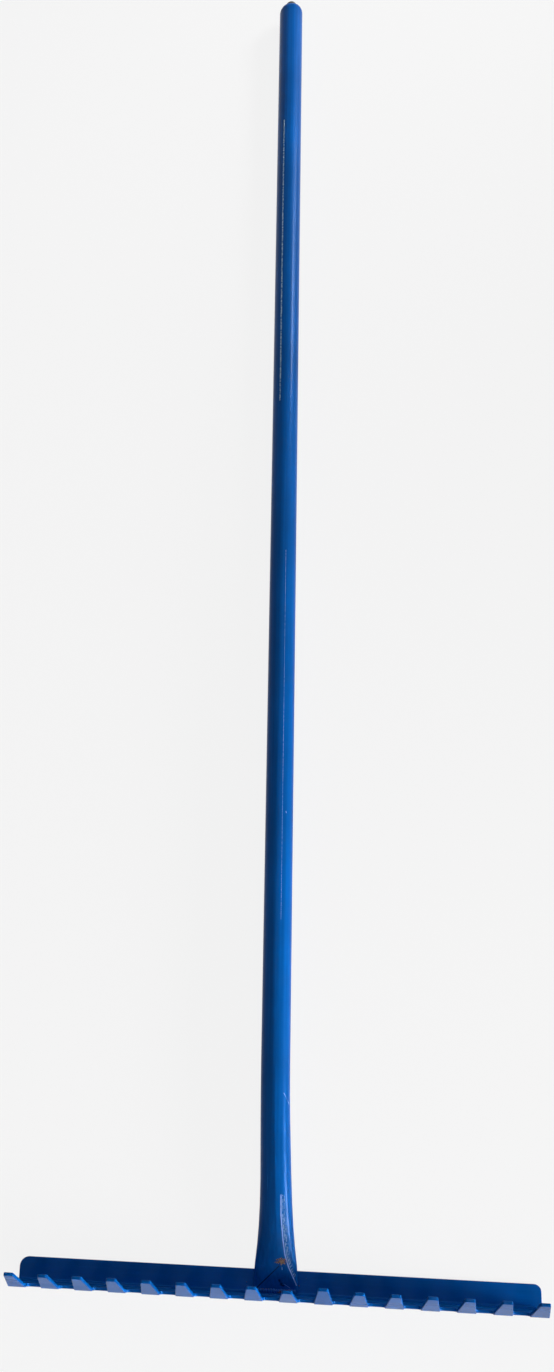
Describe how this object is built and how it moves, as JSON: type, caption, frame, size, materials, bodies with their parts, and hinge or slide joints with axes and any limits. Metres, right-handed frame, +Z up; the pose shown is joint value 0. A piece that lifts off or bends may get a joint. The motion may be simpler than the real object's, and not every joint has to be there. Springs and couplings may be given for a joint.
{
  "type": "garden rake",
  "caption": "Steel garden rake: a folded sheet head with tapered teeth bent toward the handle, welded to the pressed end of a long round tube.",
  "frame": {"origin": "middle of the rake's footprint on the ground, lying with its teeth up", "axes": "+X along the head, +Y up the handle from the head to its free end, +Z up, the way the teeth point"},
  "size_m": [0.4814, 1.5038, 0.0777],
  "materials": {
    "head_paint": "gloss blue paint on pressed steel sheet",
    "handle_paint": "gloss blue paint on steel tube, scratched lengthwise",
    "plug": "dark grey plug",
    "weld_paint": "blue paint over weld bead"
  },
  "bodies": {
    "root": {"rake_head": "head_paint", "handle_tube": "handle_paint", "end_plug": "plug", "toe_weld": "weld_paint", "heel_weld": "weld_paint"}
  },
  "joints": []
}
